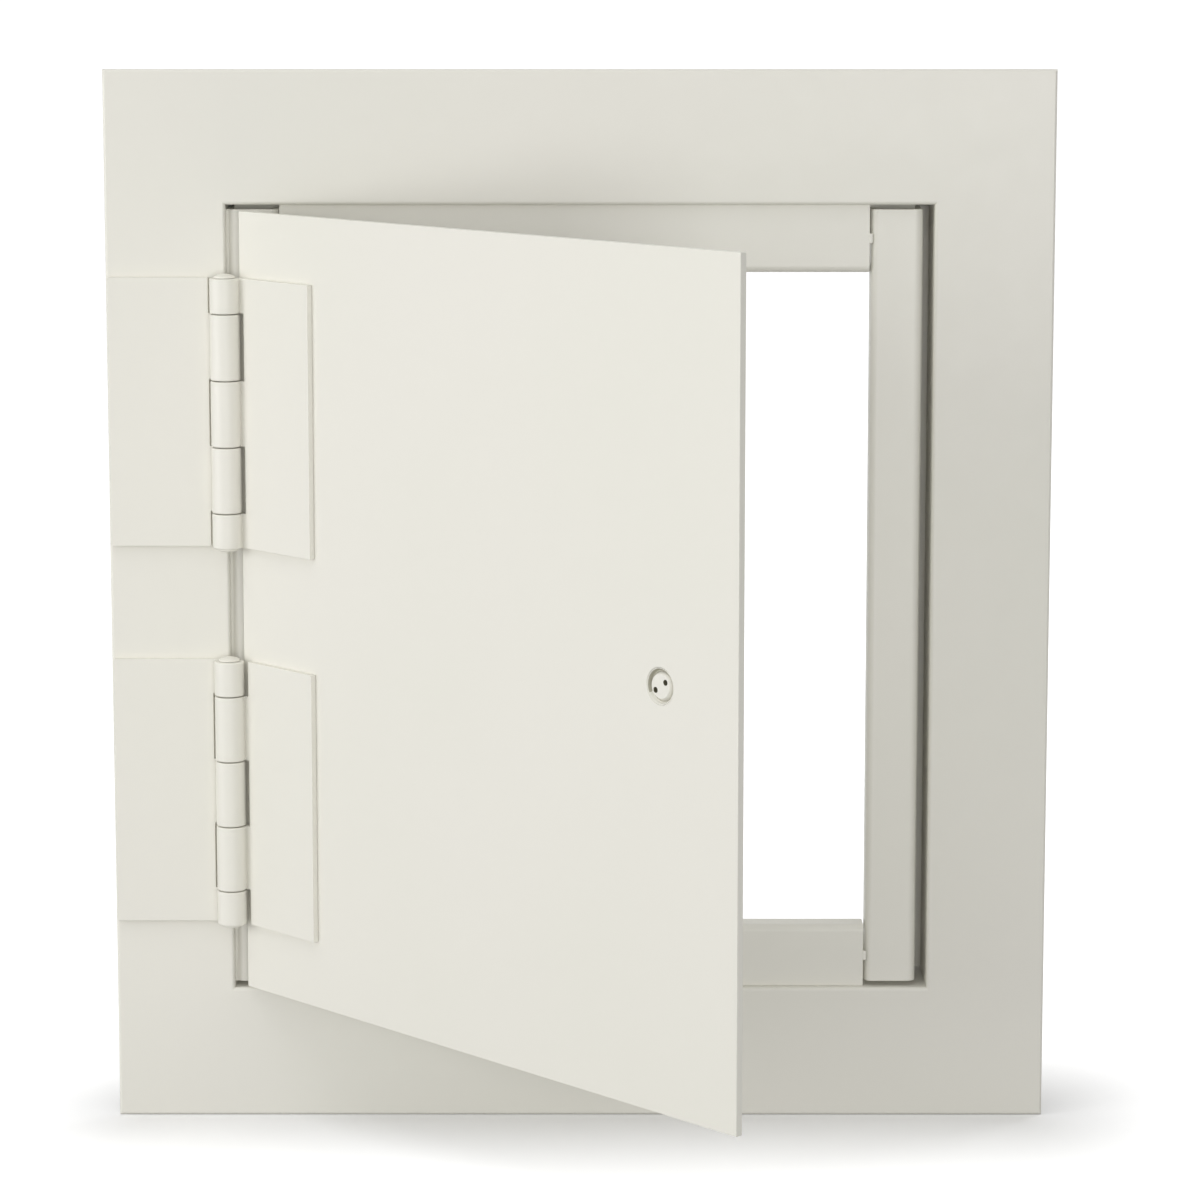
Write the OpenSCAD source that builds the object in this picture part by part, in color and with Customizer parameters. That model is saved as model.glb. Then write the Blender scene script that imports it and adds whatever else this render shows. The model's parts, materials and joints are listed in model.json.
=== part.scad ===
// Security access panel: flange frame with door stops, plate door on two butt hinges, spanner-head cam latch.
// Millimetres. +Z up, +Y into the wall, -Y towards the room, hinges at -X.
// The origin is the middle of the opening, in the wall plane that the flange seats on.
// The door is drawn open; open_angle is how far it stands from closed.

/* [Frame] */
// Width of the flange opening
opening_w = 300; // [220:1:600]
// Height of the flange opening
opening_h = 340; // [310:1:700]
// Width of the flange at the two sides
side_flange = 51; // [48:0.5:80]
// Width of the flange at the top and the bottom
end_flange = 57; // [30:0.5:80]
// Thickness of the frame's plate
frame_t = 3; // [2:0.1:5]
// Depth of the frame from the flange's face to the back of its legs
frame_depth = 50; // [44:1:120]
// Rounding of the heel, where flange and leg meet at the opening
heel_round = 1.6; // [0.4:0.1:1.9]
// Rounding of the flange's outer front edge
edge_round = 1.2; // [0.4:0.1:1.8]

/* [Door stops] */
// Plate thickness of the stops
stop_t = 2.5; // [1.5:0.1:4]
// Inside radius of the bend between a stop's face and its lip
stop_bend = 0.5; // [0.3:0.1:2]
// Inside radius of the bend between a side stop's face and its outer leg
stop_leg_bend = 1.2; // [0.3:0.1:4]
// Width of the side stops' face
side_stop_face = 22; // [16:0.5:30]
// Height of the top stop's face
top_stop_face = 29; // [16:0.5:40]
// Height of the bottom stop's face
bottom_stop_face = 27; // [16:0.5:40]
// How far the stops' inner lip goes back from their face
stop_lip = 12; // [8:0.5:16]
// How far the side stops' outer leg goes back from their face
stop_leg = 38; // [28:1:38]
// Slot between the strike side leg of the frame and its stop
strike_slot = 4.5; // [0.5:0.1:8]
// Gap at both ends of a side stop
stop_end_gap = 2.1; // [0.5:0.1:5]
// Joint between the ends of the top and bottom stops and the side stops
stop_joint = 0.7; // [0.3:0.1:0.9]
// Depth of the spacer bar that fills the back of that slot
spacer_d = 10; // [6:1:24]
// Height of a corner block, behind the end of a side stop
block_h = 16; // [8:1:16]
// Depth of a corner block
block_d = 18; // [8:1:20]
// How far a corner block reaches behind the top or bottom stop
block_lap = 8; // [4:0.5:12]
// Diameter of a tack weld
tack_d = 2; // [1:0.1:2.4]

/* [Door] */
// Thickness of the door plate
door_t = 3; // [2:0.1:5]
// Gap between the door and the flange at the two sides
door_side_gap = 1.5; // [1:0.1:4]
// Gap between the door and the flange at the top
door_top_gap = 2.4; // [1:0.1:4]
// Gap between the door and the flange at the bottom
door_bottom_gap = 1.6; // [1:0.1:4]
// Gap between the closed door and the stops
stop_clearance = 0.3; // [0.2:0.1:1]
// How far the door stands open
open_angle = 46.5; // [0:0.5:170]

/* [Hinges] */
// Height of a hinge
hinge_h = 115; // [80:1:130]
// Distance from the opening's top and bottom edges to the hinges
hinge_inset = 30.5; // [5:0.5:36]
// Distance from a hinge leaf's end to the flange's outer edge
leaf_margin = 1; // [0.5:0.5:12]
// Thickness of a hinge leaf
leaf_t = 2.6; // [2:0.1:4]
// Outside diameter of the hinge barrel
barrel_d = 12.7; // [11:0.1:16]
// Length of the first and last knuckle
end_knuckle = 15; // [8:0.5:24]
// Gap between knuckles
knuckle_gap = 0.4; // [0.3:0.1:1]
// Gap between the barrel and the panel's face
barrel_gap = 0.3; // [0.2:0.1:1]
// Gap between a leaf's notch and the knuckle that turns in it
notch_gap = 1; // [0.4:0.1:1.5]
// Diameter of the hinge pin
pin_d = 6.4; // [5:0.1:7]
// Running clearance around the pin, on the radius
pin_clearance = 0.05; // [0.02:0.01:0.1]
// Diameter of the pin's button tips
tip_d = 9; // [8:0.1:10.8]
// Height of the pin's button tips
tip_h = 1.8; // [1:0.1:3]

/* [Lock] */
// Gap between the lock housing's flange and the strike side stop
lock_stop_gap = 4.1; // [1.5:0.1:10]
// Diameter of the lock's hole in the door
lock_hole_d = 14.5; // [13.4:0.1:18]
// How deep the lock's dish goes
dish_depth = 1.5; // [0.5:0.1:2]
// Diameter of the spanner head at its seat
head_d = 11.2; // [9:0.1:11.6]
// Thickness of the spanner head below the dish
head_t = 3; // [2:0.1:4]
// Diameter of the two spanner holes
spanner_hole_d = 2.3; // [1.5:0.1:3]
// Depth of the spanner holes
spanner_hole_depth = 2; // [1:0.1:2]
// Distance between the spanner holes
spanner_spacing = 6.4; // [4.5:0.1:7]
// Slope of the line through the spanner holes
spanner_slope = 33; // [-90:1:90]
// Diameter of the lock housing's barrel behind the door
housing_d = 22; // [20:0.5:24]
// Diameter of the lock housing's flange on the door's back
housing_flange_d = 26; // [24:0.5:28]
// Thickness of the lock housing's flange
housing_flange_t = 2.5; // [1.5:0.1:4]
// Diameter of the spindle's shank
shank_d = 8; // [7:0.1:8.6]
// Width of the spindle's square
square_w = 5.6; // [4.6:0.1:6]
// Diameter of the spindle's threaded end
thread_d = 5.4; // [4:0.1:5.5]
// Length of the thread past the nut
thread_end = 1.5; // [0.5:0.1:4]
// Running clearance around the spindle, on the radius
spindle_clearance = 0.06; // [0.03:0.01:0.1]

/* [Cam] */
// Thickness of the cam
cam_t = 3; // [2:0.1:4]
// How far the locked cam reaches behind the stop
cam_overlap = 14.5; // [6:0.5:17]
// Width of the cam's arm
cam_w = 13; // [8:0.5:18]
// Gap between the locked cam and the stop's lip
cam_gap = 0.6; // [0.4:0.1:1.5]
// Thickness of the thrust washer
thrust_t = 0.5; // [0.4:0.1:0.8]
// Diameter of the thrust washer
thrust_d = 12; // [10:0.1:12.4]
// Turn from unlocked to locked
cam_turn = 90; // [60:1:100]
// Diameter of the pin that stops the cam
stop_pin_d = 2.5; // [2:0.1:3]
// Radius that the stop pin stands on
stop_pin_r = 8.2; // [8:0.1:8.6]
// Depth of the stop pin's hole
stop_pin_seat = 5; // [3:0.1:6]
// Thickness of the spring washer under the nut
spring_washer_t = 1.2; // [0.6:0.1:2]
// Diameter of the spring washer
spring_washer_d = 10; // [9:0.1:12]
// Width across the nut's flats
nut_w = 10; // [8:0.1:13]
// Thickness of the nut
nut_t = 5; // [3:0.1:6]

/* [Anchors] */
// Distance between the upper and lower anchors
anchor_spacing = 220; // [120:1:260]
// Width of an anchor strap
anchor_w = 30; // [20:1:40]
// Thickness of an anchor strap
anchor_t = 3; // [2:0.1:4]
// Length of the strap that lies on the frame's leg
anchor_seat = 36; // [20:1:40]
// How far an anchor stands out from the frame's leg
anchor_reach = 42; // [38:1:46]
// Distance from the frame's leg to the anchor's hole
anchor_hole_out = 25; // [16:0.5:28]
// Diameter of the anchor's hole
anchor_hole_d = 10.5; // [6:0.1:12]

/* [Hidden] */
$fn = 64;
cut = 1;
paint = "#E4E2D8";
zinc = "#B9BCC0";

half_w = opening_w / 2;
half_h = opening_h / 2;
face_y = -frame_t;

// Depths below are counted from the flange's face, going back
stop_face_at = door_t + stop_clearance;
stop_lip_end = stop_face_at + stop_lip;
stop_leg_end = stop_face_at + stop_leg;
side_stop_half_h = half_h - stop_end_gap;
hinge_stop_inner = -half_w + side_stop_face;
strike_stop_inner = half_w - strike_slot - side_stop_face;

// Hinge axis: at the opening's edge, in front of the face
barrel_r = barrel_d / 2;
axis_lift = barrel_r + barrel_gap;
axis_x = -half_w;
axis_y = face_y - axis_lift;
mid_knuckle = (hinge_h - 2 * end_knuckle) / 3;
knuckle_starts = [0, end_knuckle, end_knuckle + mid_knuckle, end_knuckle + 2 * mid_knuckle, hinge_h - end_knuckle];
knuckle_lengths = [end_knuckle, mid_knuckle, mid_knuckle, mid_knuckle, end_knuckle];
odd_knuckles = [0, 2, 4];
even_knuckles = [1, 3];
press_clearance = 0.01;
notch_reach = barrel_r + notch_gap;
leaf_w = side_flange - leaf_margin;
upper_hinge_z = half_h - hinge_inset - hinge_h;
lower_hinge_z = -half_h + hinge_inset;

door_w = opening_w - 2 * door_side_gap;
door_low = -half_h + door_bottom_gap;
door_high = half_h - door_top_gap;

// Lock, in the closed door: the axis runs along Y, depths are counted from the door's face
lock_x = strike_stop_inner - lock_stop_gap - housing_flange_d / 2;
lock_z = (door_low + door_high) / 2;
housing_lip = 0.3;
housing_fit = 0.05;
housing_r = lock_hole_d / 2 - housing_fit;
dish_rim = 0.3;
dish_draft = 0.6;
dish_r = housing_r - dish_rim;
dish_end = housing_lip + dish_depth;
counterbore_r = head_d / 2 + spindle_clearance;
face_margin = 0.4;
head_face_r = (spanner_spacing + spanner_hole_d) / 2 + face_margin;
head_gap = 0.1;
counterbore_end = dish_end + head_t + head_gap;
cam_at = stop_lip_end + cam_gap;
thrust_gap = 0.05;
housing_end = cam_at - thrust_t - thrust_gap;
square_fit = 0.05;
cam_end = cam_at + cam_t;
nut_at = cam_end + spring_washer_t;
nut_end = nut_at + nut_t;
hub_r = housing_d / 2;
hub_core_gap = 0.3;
hub_core_r = stop_pin_r - stop_pin_d / 2 - hub_core_gap;
cam_reach = strike_stop_inner + cam_overlap - lock_x;
stop_pin_angle = 180 - cam_turn / 2;
stop_pin_slack = 0.25;
notch_half_turn = cam_turn / 2 + asin((stop_pin_d / 2 + stop_pin_slack) / stop_pin_r);

// Bent plate corner in the first quadrant: outside corner at the origin, legs along +X and +Y
module bend(t, inside_r) {
  outside_r = t + inside_r;
  intersection() {
    square(outside_r);
    translate([outside_r, outside_r])
      difference() {
        circle(outside_r);
        circle(inside_r);
      }
  }
}

// Flange and leg of a frame angle: X runs outwards from the opening's edge, Y back from the face
module frame_profile(flange_w) {
  translate([heel_round, heel_round])
    circle(heel_round);
  translate([heel_round, 0])
    square([flange_w - heel_round - edge_round, frame_t]);
  translate([flange_w - edge_round, edge_round])
    circle(edge_round);
  translate([flange_w - 2 * edge_round, edge_round])
    square([2 * edge_round, frame_t - edge_round]);
  translate([0, heel_round])
    square([frame_t, frame_depth - heel_round]);
}

// Frame angle along a side, for an opening of half size near, at distance away from the middle, with mitred ends
module frame_angle(away, near, flange_w, near_flange) {
  far = near + near_flange;
  color(paint)
    intersection() {
      translate([away, face_y, -far])
        linear_extrude(2 * far)
          frame_profile(flange_w);
      translate([0, face_y + frame_depth + cut, 0])
        rotate([90, 0, 0])
          linear_extrude(frame_depth + 2 * cut)
            polygon([[away, -near], [away + flange_w, -far], [away + flange_w, far], [away, near]]);
    }
}

module frame_strike_side() {
  frame_angle(half_w, half_h, side_flange, end_flange);
}

module frame_hinge_side() {
  mirror([1, 0, 0]) frame_angle(half_w, half_h, side_flange, end_flange);
}

module frame_top() {
  rotate([0, -90, 0]) frame_angle(half_h, half_w, end_flange, side_flange);
}

module frame_bottom() {
  rotate([0, 90, 0]) frame_angle(half_h, half_w, end_flange, side_flange);
}

// Stop face with its inner lip: X runs inwards from the stop's outer edge, Y back from the flange's face
module stop_face_profile(from, face_w) {
  corner = stop_t + stop_bend;
  translate([face_w, stop_face_at])
    mirror([1, 0]) bend(stop_t, stop_bend);
  translate([from, stop_face_at])
    square([face_w - corner - from, stop_t]);
  translate([face_w - stop_t, stop_face_at + corner])
    square([stop_t, stop_lip - corner]);
}

// Channel of a side stop: the stop face, and a leg that goes back at its outer edge
module side_stop_profile() {
  corner = stop_t + stop_leg_bend;
  stop_face_profile(corner, side_stop_face);
  translate([0, stop_face_at]) bend(stop_t, stop_leg_bend);
  translate([0, stop_face_at + corner])
    square([stop_t, stop_leg - corner]);
}

module stop_hinge_side() {
  color(paint)
    translate([-half_w, face_y, -side_stop_half_h])
      linear_extrude(2 * side_stop_half_h)
        side_stop_profile();
}

module stop_strike_side() {
  color(paint)
    translate([half_w - strike_slot, face_y, -side_stop_half_h])
      mirror([1, 0, 0])
        linear_extrude(2 * side_stop_half_h)
          side_stop_profile();
}

// Top or bottom stop: lies between the side stops, against the frame's leg
module end_stop(face_w) {
  from = hinge_stop_inner + stop_joint;
  to = strike_stop_inner - stop_joint;
  color(paint)
    translate([from, face_y, half_h])
      rotate([0, 90, 0])
        linear_extrude(to - from)
          stop_face_profile(0, face_w);
}

module stop_top() {
  end_stop(top_stop_face);
}

module stop_bottom() {
  mirror([0, 0, 1]) end_stop(bottom_stop_face);
}

// Bar that closes the back of the slot between the frame's leg and the strike side stop
module strike_side_spacer() {
  bar_end = stop_leg_end - stop_t;
  color(paint)
    translate([half_w - strike_slot, face_y + bar_end - spacer_d, -side_stop_half_h])
      cube([strike_slot, spacer_d, 2 * side_stop_half_h]);
}

// Block behind the upper end of a strike side stop, which ties it to the frame's top leg
module corner_block(slot) {
  block_w = side_stop_face - stop_t + block_lap;
  color(paint)
    translate([half_w - slot - stop_t - block_w, face_y + stop_lip_end, half_h - block_h])
      cube([block_w, block_d, block_h]);
}

module corner_block_strike_top() {
  corner_block(strike_slot);
}

module corner_block_strike_bottom() {
  mirror([0, 0, 1]) corner_block(strike_slot);
}

module corner_block_hinge_top() {
  mirror([1, 0, 0]) corner_block(0);
}

module corner_block_hinge_bottom() {
  mirror([1, 0, 0]) mirror([0, 0, 1]) corner_block(0);
}

// One tack weld at each end of the top and bottom stops
module stop_tack_welds() {
  heights = [half_h - top_stop_face / 2, -half_h + bottom_stop_face / 2];
  color(paint)
    for (x = [hinge_stop_inner, strike_stop_inner - stop_joint], z = heights)
      translate([x, face_y + stop_face_at + stop_t / 2, z])
        rotate([0, 90, 0])
          cylinder(h = stop_joint, d = tack_d);
}

// Strap anchor on the outside of the strike side leg, bent outwards at the back
module anchor(z) {
  leg_x = half_w + frame_t;
  back_y = face_y + frame_depth;
  color(zinc)
    difference() {
      translate([leg_x, back_y, z - anchor_w / 2])
        mirror([0, 1, 0])
          linear_extrude(anchor_w)
            union() {
              bend(anchor_t, anchor_t);
              translate([2 * anchor_t, 0]) square([anchor_reach - 2 * anchor_t, anchor_t]);
              translate([0, 2 * anchor_t]) square([anchor_t, anchor_seat - 2 * anchor_t]);
            }
      translate([leg_x + anchor_hole_out, back_y + cut, z])
        rotate([90, 0, 0])
          cylinder(h = anchor_t + 2 * cut, d = anchor_hole_d);
    }
}

module anchor_strike_upper() {
  anchor(anchor_spacing / 2);
}

module anchor_strike_lower() {
  anchor(-anchor_spacing / 2);
}

module anchor_hinge_upper() {
  mirror([1, 0, 0]) anchor(anchor_spacing / 2);
}

module anchor_hinge_lower() {
  mirror([1, 0, 0]) anchor(-anchor_spacing / 2);
}

// Places a piece that is drawn around the hinge axis
module on_axis(z) {
  translate([axis_x, axis_y, z]) children();
}

// Swings a piece from the closed door to the open door
module on_door() {
  translate([axis_x, axis_y, 0])
    rotate([0, 0, -open_angle])
      translate([-axis_x, -axis_y, 0])
        children();
}

// Hinge leaf on the +X side of the axis, with the knuckles that it owns and notches for the others
module hinge_leaf(own, others, bore_clearance) {
  color(paint)
    difference() {
      union() {
        translate([0, axis_lift - leaf_t, 0])
          cube([leaf_w, leaf_t, hinge_h]);
        for (k = own)
          translate([0, 0, knuckle_starts[k]])
            cylinder(h = knuckle_lengths[k], r = barrel_r);
      }
      for (k = others)
        translate([-barrel_r - cut, -barrel_r - cut, knuckle_starts[k] - knuckle_gap / 2])
          cube([notch_reach + barrel_r + cut, 2 * barrel_r + barrel_gap + 2 * cut, knuckle_lengths[k] + knuckle_gap]);
      translate([0, 0, -cut])
        cylinder(h = hinge_h + 2 * cut, r = pin_d / 2 + bore_clearance);
    }
}

// Button tip: a flat seat at z = 0 and a domed end above it
module button_tip() {
  rim = tip_h / 3;
  crown = tip_h - rim;
  dome_r = (tip_d * tip_d / 4 + crown * crown) / (2 * crown);
  intersection() {
    cylinder(h = tip_h, d = tip_d);
    translate([0, 0, tip_h - dome_r]) sphere(dome_r, $fn = 96);
  }
}

// Pin through both leaves, with a button tip on its upper end
module hinge_pin() {
  color(paint) {
    cylinder(h = hinge_h + knuckle_gap / 2, d = pin_d);
    translate([0, 0, hinge_h + knuckle_gap / 2]) button_tip();
  }
}

// Plug that closes the pin's lower end
module hinge_plug() {
  color(paint)
    mirror([0, 0, 1])
      translate([0, 0, knuckle_gap / 2])
        union() {
          button_tip();
          translate([0, 0, -knuckle_gap / 2]) cylinder(h = knuckle_gap / 2 + tip_h / 3, d = pin_d);
        }
}

module upper_hinge_frame_leaf() {
  on_axis(upper_hinge_z) mirror([1, 0, 0]) hinge_leaf(even_knuckles, odd_knuckles, press_clearance);
}

module lower_hinge_frame_leaf() {
  on_axis(lower_hinge_z) mirror([1, 0, 0]) hinge_leaf(odd_knuckles, even_knuckles, press_clearance);
}

module upper_hinge_door_leaf() {
  on_door() on_axis(upper_hinge_z) hinge_leaf(odd_knuckles, even_knuckles, pin_clearance);
}

module lower_hinge_door_leaf() {
  on_door() on_axis(lower_hinge_z) hinge_leaf(even_knuckles, odd_knuckles, pin_clearance);
}

module upper_hinge_pin() {
  on_axis(upper_hinge_z) hinge_pin();
}

module lower_hinge_pin() {
  on_axis(lower_hinge_z) hinge_pin();
}

module upper_hinge_plug() {
  on_axis(upper_hinge_z) hinge_plug();
}

module lower_hinge_plug() {
  on_axis(lower_hinge_z) hinge_plug();
}

// Places a piece that is drawn around the lock's axis, with its Z as the depth behind the door's face
module on_lock() {
  on_door()
    translate([lock_x, face_y, lock_z])
      rotate([-90, 0, 0])
        children();
}

module door_plate() {
  color(paint)
    difference() {
      on_door()
        translate([-half_w + door_side_gap, face_y, door_low])
          cube([door_w, door_t, door_high - door_low]);
      on_lock()
        translate([0, 0, -cut])
          cylinder(h = door_t + 2 * cut, d = lock_hole_d);
    }
}

module lock_housing() {
  color(paint)
    on_lock()
      difference() {
        union() {
          translate([0, 0, housing_lip]) cylinder(h = door_t - housing_lip, r = housing_r);
          translate([0, 0, door_t]) cylinder(h = housing_flange_t, d = housing_flange_d);
          translate([0, 0, door_t]) cylinder(h = housing_end - door_t, d = housing_d);
        }
        translate([0, 0, housing_lip])
          cylinder(h = dish_depth, r1 = dish_r, r2 = dish_r - dish_draft);
        translate([0, 0, housing_lip])
          cylinder(h = counterbore_end - housing_lip, r = counterbore_r);
        cylinder(h = housing_end + cut, r = shank_d / 2 + spindle_clearance);
        rotate(stop_pin_angle)
          translate([stop_pin_r, 0, housing_end - stop_pin_seat])
            cylinder(h = stop_pin_seat + cut, r = stop_pin_d / 2 + press_clearance);
      }
}

module cam_stop_pin() {
  color(zinc)
    on_lock()
      rotate(stop_pin_angle)
        translate([stop_pin_r, 0, housing_end - stop_pin_seat])
          cylinder(h = stop_pin_seat + cam_end - housing_end, d = stop_pin_d);
}

// Spanner head with a tapered crown in the dish, shank, square for the cam and thread for its nut
module lock_spindle() {
  color(zinc)
    on_lock()
      difference() {
        union() {
          translate([0, 0, housing_lip]) cylinder(h = dish_depth, r1 = head_face_r, r2 = head_d / 2);
          translate([0, 0, dish_end]) cylinder(h = head_t, d = head_d);
          translate([0, 0, dish_end]) cylinder(h = cam_at - dish_end, d = shank_d);
          translate([-square_w / 2, -square_w / 2, cam_at]) cube([square_w, square_w, cam_t]);
          translate([0, 0, cam_at - cut]) cylinder(h = cut + nut_end + thread_end - cam_at, d = thread_d);
        }
        rotate(-spanner_slope)
          for (x = [-spanner_spacing / 2, spanner_spacing / 2])
            translate([x, 0, housing_lip - cut])
              cylinder(h = spanner_hole_depth + cut, d = spanner_hole_d);
      }
}

module ring(at, thick, outer_d, inner_d) {
  translate([0, 0, at])
    difference() {
      cylinder(h = thick, d = outer_d);
      translate([0, 0, -cut]) cylinder(h = thick + 2 * cut, d = inner_d);
    }
}

module thrust_washer() {
  color(zinc)
    on_lock()
      ring(cam_at - thrust_t, thrust_t, thrust_d, shank_d + 2 * spindle_clearance);
}

// Arc slot in the cam's hub, opposite its arm: a wedge outside the hub's core
module cam_notch() {
  far = 2 * hub_r;
  difference() {
    polygon([
      [0, 0],
      for (i = [-2:2]) [far * cos(180 + i * notch_half_turn / 2), far * sin(180 + i * notch_half_turn / 2)]
    ]);
    circle(hub_core_r);
  }
}

// Cam, drawn with its arm along +X and then turned up to the unlocked place
module latch_cam() {
  color(zinc)
    on_lock()
      rotate(-cam_turn)
        translate([0, 0, cam_at])
          linear_extrude(cam_t)
            difference() {
              union() {
                circle(hub_r);
                translate([0, -cam_w / 2]) square([cam_reach - cam_w / 2, cam_w]);
                translate([cam_reach - cam_w / 2, 0]) circle(cam_w / 2);
              }
              cam_notch();
              square(square_w + 2 * square_fit, center = true);
            }
}

module cam_lock_washer() {
  color(zinc)
    on_lock()
      ring(cam_end, spring_washer_t, spring_washer_d, thread_d + 2 * spindle_clearance);
}

module cam_nut() {
  color(zinc)
    on_lock()
      translate([0, 0, nut_at])
        difference() {
          cylinder(h = nut_t, d = nut_w / cos(30), $fn = 6);
          translate([0, 0, -cut]) cylinder(h = nut_t + 2 * cut, d = thread_d + 2 * press_clearance);
        }
}

frame_top();
frame_bottom();
frame_hinge_side();
frame_strike_side();
stop_top();
stop_bottom();
stop_hinge_side();
stop_strike_side();
strike_side_spacer();
corner_block_hinge_top();
corner_block_hinge_bottom();
corner_block_strike_top();
corner_block_strike_bottom();
stop_tack_welds();
anchor_hinge_upper();
anchor_hinge_lower();
anchor_strike_upper();
anchor_strike_lower();
upper_hinge_frame_leaf();
lower_hinge_frame_leaf();
upper_hinge_pin();
lower_hinge_pin();
upper_hinge_plug();
lower_hinge_plug();
door_plate();
upper_hinge_door_leaf();
lower_hinge_door_leaf();
lock_housing();
cam_stop_pin();
lock_spindle();
thrust_washer();
latch_cam();
cam_lock_washer();
cam_nut();
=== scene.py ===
# %% [markdown]
# This lesson dresses a steel access panel: a flat flange frame with door stops inside it, a plate door on two
# butt hinges, and a latch that turns with a two-pin spanner. The solids come from the CAD model, and they
# stay where they are. What is added here is what bending, welding, machining and painting leave on a panel.

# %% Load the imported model
import json
import math

import bmesh
import bpy
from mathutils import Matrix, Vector

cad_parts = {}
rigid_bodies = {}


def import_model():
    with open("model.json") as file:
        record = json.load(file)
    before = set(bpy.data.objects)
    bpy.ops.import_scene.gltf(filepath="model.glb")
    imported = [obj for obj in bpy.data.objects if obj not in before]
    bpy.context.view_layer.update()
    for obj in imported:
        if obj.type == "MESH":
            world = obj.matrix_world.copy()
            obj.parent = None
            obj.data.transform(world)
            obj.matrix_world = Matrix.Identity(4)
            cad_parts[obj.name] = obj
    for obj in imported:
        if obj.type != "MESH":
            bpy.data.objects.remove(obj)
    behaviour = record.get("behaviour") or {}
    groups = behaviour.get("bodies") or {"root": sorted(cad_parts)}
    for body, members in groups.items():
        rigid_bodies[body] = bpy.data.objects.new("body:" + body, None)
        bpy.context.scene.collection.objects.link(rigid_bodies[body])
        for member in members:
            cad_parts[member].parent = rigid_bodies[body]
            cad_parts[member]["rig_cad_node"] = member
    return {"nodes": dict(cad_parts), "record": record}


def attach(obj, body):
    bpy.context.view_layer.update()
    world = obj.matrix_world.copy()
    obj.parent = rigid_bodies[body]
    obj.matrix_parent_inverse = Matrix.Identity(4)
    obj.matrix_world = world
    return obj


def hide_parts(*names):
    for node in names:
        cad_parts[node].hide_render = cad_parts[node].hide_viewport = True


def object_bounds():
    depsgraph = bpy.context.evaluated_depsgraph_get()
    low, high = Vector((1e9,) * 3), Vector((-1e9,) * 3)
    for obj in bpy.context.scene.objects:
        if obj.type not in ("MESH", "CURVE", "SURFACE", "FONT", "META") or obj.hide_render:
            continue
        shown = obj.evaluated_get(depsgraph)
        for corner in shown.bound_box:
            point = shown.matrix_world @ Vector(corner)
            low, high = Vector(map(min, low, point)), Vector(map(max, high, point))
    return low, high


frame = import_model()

cad_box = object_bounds()
MM = 0.001
print("CAD box in mm:", [[round(x / MM, 1) for x in corner] for corner in cad_box])

# %% [markdown]
# Three small helpers serve all the materials. Colours are picked on a screen, so they are written as sRGB hex
# values, while Blender's shaders work in linear light: one function converts them. Another adds a shader node
# with its inputs and settings, where an input is either a plain value or another node's output. The third
# starts a material with an empty node tree.

# %% Colour and node helpers
def linear(hex_colour):
    """An sRGB hex colour as linear RGBA."""
    channels = [int(hex_colour[i:i + 2], 16) / 255 for i in (1, 3, 5)]
    return [c / 12.92 if c <= 0.04045 else ((c + 0.055) / 1.055) ** 2.4 for c in channels] + [1.0]


def add_node(owner, kind, inputs=None, **settings):
    """Adds a shader node to a material or world; an input is a value, or another node's output socket."""
    node = owner.node_tree.nodes.new(kind)
    for name, value in settings.items():
        setattr(node, name, value)
    for socket, value in (inputs or {}).items():
        if isinstance(value, bpy.types.NodeSocket):
            owner.node_tree.links.new(value, node.inputs[socket])
        else:
            node.inputs[socket].default_value = value
    return node


def new_material(name):
    """A material with an empty node tree."""
    material = bpy.data.materials.new(name)
    material.use_nodes = True
    material.node_tree.nodes.clear()
    return material


print("helpers: linear, add_node, new_material")

# %% [markdown]
# The panel has one coat of warm off-white satin paint, sprayed over the frame, door and hinges after welding.
# Sprayed paint levels out almost flat and leaves a faint orange peel, with humps two or three millimetres
# apart and about a hundredth of a millimetre high. Its colour drifts a little over a hand's width. So the
# colour is a mix of two near tones, and one noise texture drives the bump and another the gloss. A bump is
# enough here: such a low relief never shows in an outline.

# %% Satin paint
# Places of the Mix node's sockets when it mixes colours.
MIX_FACTOR, MIX_A, MIX_B, MIX_RESULT = 0, 6, 7, 2
TONE_DRIFT = 140 * MM
PEEL_SPACING, PEEL_HEIGHT = 2.6 * MM, 0.012 * MM
GLOSS_PATCH = 9 * MM
SATIN_SMOOTHEST, SATIN_DULLEST = 0.36, 0.50


def satin_paint(name, tone, second_tone):
    """Sprayed satin paint that drifts between two tones, with orange peel."""
    material = new_material(name)
    place = add_node(material, "ShaderNodeTexCoord").outputs["Object"]
    drift = add_node(material, "ShaderNodeTexNoise", {
        "Vector": place, "Scale": 1 / TONE_DRIFT, "Detail": 1.5})
    colour = add_node(material, "ShaderNodeMix", {
        MIX_FACTOR: drift.outputs["Fac"], MIX_A: linear(tone), MIX_B: linear(second_tone)}, data_type="RGBA")
    peel = add_node(material, "ShaderNodeTexNoise", {
        "Vector": place, "Scale": 1 / PEEL_SPACING, "Detail": 1.0})
    bump = add_node(material, "ShaderNodeBump", {"Height": peel.outputs["Fac"], "Distance": PEEL_HEIGHT})
    patches = add_node(material, "ShaderNodeTexNoise", {
        "Vector": place, "Scale": 1 / GLOSS_PATCH, "Detail": 3.0})
    gloss = add_node(material, "ShaderNodeMapRange", {
        "Value": patches.outputs["Fac"], "To Min": SATIN_SMOOTHEST, "To Max": SATIN_DULLEST})
    shader = add_node(material, "ShaderNodeBsdfPrincipled", {
        "Base Color": colour.outputs[MIX_RESULT], "Roughness": gloss.outputs["Result"],
        "Normal": bump.outputs["Normal"]})
    add_node(material, "ShaderNodeOutputMaterial", {"Surface": shader.outputs["BSDF"]})
    return material


paint = satin_paint("satin_paint_on_steel", "#E9E6DE", "#E5E4D9")
print("paint:", paint.name)

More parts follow.
